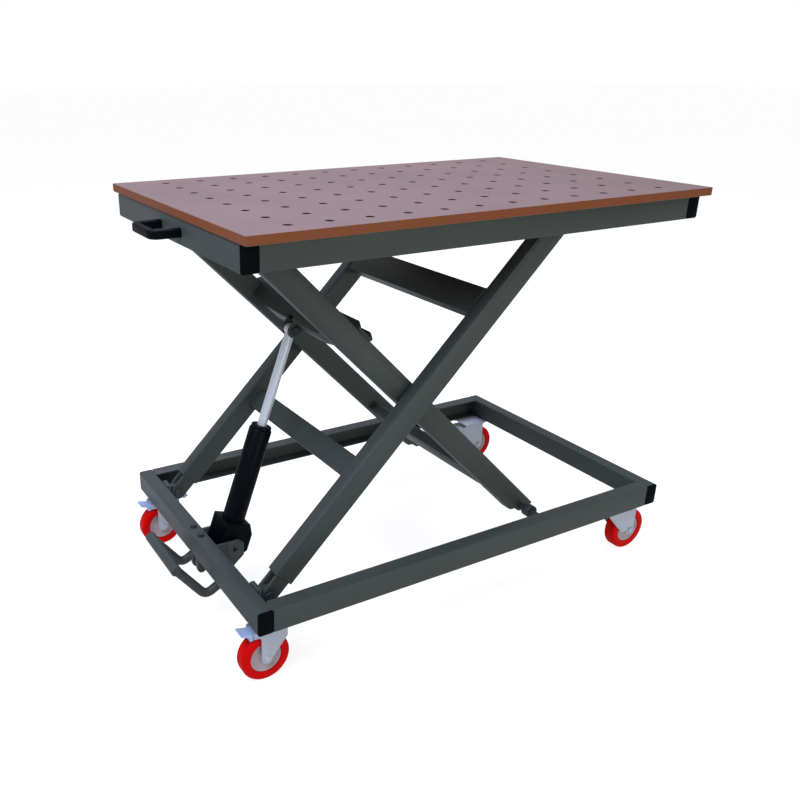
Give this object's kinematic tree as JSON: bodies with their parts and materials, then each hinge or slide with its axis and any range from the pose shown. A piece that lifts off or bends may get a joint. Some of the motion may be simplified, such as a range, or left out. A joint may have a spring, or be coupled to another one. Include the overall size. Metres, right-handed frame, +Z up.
{
  "type": "scissor lift assembly table",
  "caption": "Height-adjustable assembly table: perforated work board on a scissor lift raised by a foot-pumped hydraulic cylinder, on a tube base frame with castors.",
  "frame": {"origin": "on the floor under the middle of the overall bounds", "axes": "+X along the length away from the handle, +Y across to the far side of the picture, +Z up"},
  "size_m": [1.3934, 0.8, 1.0569],
  "materials": {
    "frame": "satin dark grey-green powder coat",
    "caps": "moulded black",
    "handle": "moulded black",
    "cylinder": "semi-gloss black paint",
    "rod": "polished",
    "zinc": "zinc plated",
    "roller": "turned",
    "hub": "light grey moulded",
    "tyre": "red elastic tread",
    "board": "film-faced board, red-brown"
  },
  "bodies": {
    "base": {"base_left_tube": "frame", "base_right_tube": "frame", "base_near_rail": "frame", "base_far_rail": "frame", "base_cap_left_near": "caps", "base_cap_left_far": "caps", "base_cap_right_near": "caps", "base_cap_right_far": "caps", "lower_pivot_block_near": "frame", "lower_pivot_block_far": "frame", "pump_bracket": "frame", "caster_plate_left_near": "zinc", "caster_plate_left_far": "zinc", "caster_plate_right_near": "zinc", "caster_plate_right_far": "zinc"},
    "outer_legs": {"outer_leg_near": "frame", "outer_leg_far": "frame", "outer_cross_lower": "frame", "outer_cross_upper": "frame", "upper_axle_near": "zinc", "upper_axle_far": "zinc"},
    "inner_legs": {"inner_leg_near": "frame", "inner_leg_far": "frame", "inner_cross_lower": "frame", "lift_beam": "frame", "lower_axle_near": "zinc", "lower_axle_far": "zinc"},
    "top": {"upper_left_tube": "frame", "upper_right_tube": "frame", "upper_near_rail": "frame", "upper_far_rail": "frame", "upper_cap_left_near": "caps", "upper_cap_left_far": "caps", "upper_cap_right_near": "caps", "upper_cap_right_far": "caps", "upper_pivot_block_near": "frame", "upper_pivot_block_far": "frame", "board": "board", "handle": "handle"},
    "cylinder": {"lift_cylinder": "cylinder"},
    "rod": {"lift_rod": "rod"},
    "pedal": {"pedal": "frame"},
    "lower_roller_near": {"lower_roller_near": "roller"},
    "upper_roller_near": {"upper_roller_near": "roller"},
    "swivel_left_near": {"swivel_fork_left_near": "zinc"},
    "wheel_left_near": {"tyre_left_near": "tyre", "hub_left_near": "hub"},
    "swivel_right_near": {"swivel_fork_right_near": "zinc"},
    "wheel_right_near": {"tyre_right_near": "tyre", "hub_right_near": "hub"},
    "brake_near": {"brake_lever_near": "zinc"},
    "lower_roller_far": {"lower_roller_far": "roller"},
    "upper_roller_far": {"upper_roller_far": "roller"},
    "swivel_left_far": {"swivel_fork_left_far": "zinc"},
    "wheel_left_far": {"tyre_left_far": "tyre", "hub_left_far": "hub"},
    "swivel_right_far": {"swivel_fork_right_far": "zinc"},
    "wheel_right_far": {"tyre_right_far": "tyre", "hub_right_far": "hub"},
    "brake_far": {"brake_lever_far": "zinc"}
  },
  "joints": [
    {"name": "lift", "type": "hinge", "parent": "base", "child": "outer_legs", "pos_m": [-0.53175, 0, 0.188], "axis": [0, 1, 0], "range_deg": [0, 32]},
    {"name": "scissor_centre", "type": "hinge", "parent": "outer_legs", "child": "inner_legs", "pos_m": [-0.12245, 0, 0.5973], "axis": [0, 1, 0], "range_deg": [-64, 0]},
    {"name": "top_pivot", "type": "hinge", "parent": "inner_legs", "child": "top", "pos_m": [-0.53175, 0, 1.0066], "axis": [0, 1, 0], "range_deg": [0, 32]},
    {"name": "cylinder_foot", "type": "hinge", "parent": "base", "child": "cylinder", "pos_m": [-0.50375, 0, 0.169], "axis": [0, 1, 0], "range_deg": [0, 43.37]},
    {"name": "rod_slide", "type": "slide", "parent": "cylinder", "child": "rod", "axis": [0.3349, 0, 0.9423], "range_m": [-0.23855, 0]},
    {"name": "pedal_hinge", "type": "hinge", "parent": "base", "child": "pedal", "pos_m": [-0.54875, 0, 0.114], "axis": [0, 1, 0], "range_deg": [-25, 0], "stiffness_Nm_per_rad": 8, "springref_deg": 34.38},
    {"name": "lower_roller_near_spin", "type": "hinge", "parent": "inner_legs", "child": "lower_roller_near", "pos_m": [0.28685, -0.377, 0.188], "axis": [0, 1, 0], "continuous": true},
    {"name": "upper_roller_near_spin", "type": "hinge", "parent": "outer_legs", "child": "upper_roller_near", "pos_m": [0.28685, -0.347, 1.0066], "axis": [0, 1, 0], "continuous": true},
    {"name": "swivel_left_near_turn", "type": "hinge", "parent": "base", "child": "swivel_left_near", "pos_m": [-0.53975, -0.345, 0.15], "axis": [0, 0, 1], "continuous": true},
    {"name": "wheel_left_near_spin", "type": "hinge", "parent": "swivel_left_near", "child": "wheel_left_near", "pos_m": [-0.56975, -0.345, 0.0625], "axis": [0, 1, 0], "continuous": true},
    {"name": "swivel_right_near_turn", "type": "hinge", "parent": "base", "child": "swivel_right_near", "pos_m": [0.60425, -0.345, 0.15], "axis": [0, 0, 1], "continuous": true},
    {"name": "wheel_right_near_spin", "type": "hinge", "parent": "swivel_right_near", "child": "wheel_right_near", "pos_m": [0.63425, -0.345, 0.0625], "axis": [0, 1, 0], "continuous": true},
    {"name": "brake_near_lever", "type": "hinge", "parent": "swivel_left_near", "child": "brake_near", "pos_m": [-0.59575, -0.345, 0.134], "axis": [0, 1, 0], "range_deg": [-16, 0]},
    {"name": "lower_roller_far_spin", "type": "hinge", "parent": "inner_legs", "child": "lower_roller_far", "pos_m": [0.28685, 0.377, 0.188], "axis": [0, 1, 0], "continuous": true},
    {"name": "upper_roller_far_spin", "type": "hinge", "parent": "outer_legs", "child": "upper_roller_far", "pos_m": [0.28685, 0.347, 1.0066], "axis": [0, 1, 0], "continuous": true},
    {"name": "swivel_left_far_turn", "type": "hinge", "parent": "base", "child": "swivel_left_far", "pos_m": [-0.53975, 0.345, 0.15], "axis": [0, 0, 1], "continuous": true},
    {"name": "wheel_left_far_spin", "type": "hinge", "parent": "swivel_left_far", "child": "wheel_left_far", "pos_m": [-0.56975, 0.345, 0.0625], "axis": [0, 1, 0], "continuous": true},
    {"name": "swivel_right_far_turn", "type": "hinge", "parent": "base", "child": "swivel_right_far", "pos_m": [0.60425, 0.345, 0.15], "axis": [0, 0, 1], "continuous": true},
    {"name": "wheel_right_far_spin", "type": "hinge", "parent": "swivel_right_far", "child": "wheel_right_far", "pos_m": [0.63425, 0.345, 0.0625], "axis": [0, 1, 0], "continuous": true},
    {"name": "brake_far_lever", "type": "hinge", "parent": "swivel_left_far", "child": "brake_far", "pos_m": [-0.59575, 0.345, 0.134], "axis": [0, 1, 0], "range_deg": [-16, 0]}
  ],
  "couplings": [
    {"joint": "scissor_centre", "follows": "lift", "ratio": -2},
    {"joint": "top_pivot", "follows": "lift", "ratio": 1},
    {"joint": "cylinder_foot", "follows": "lift", "ratio": 1.3554},
    {"joint": "rod_slide", "follows": "lift", "m_per_rad": -0.42711}
  ]
}
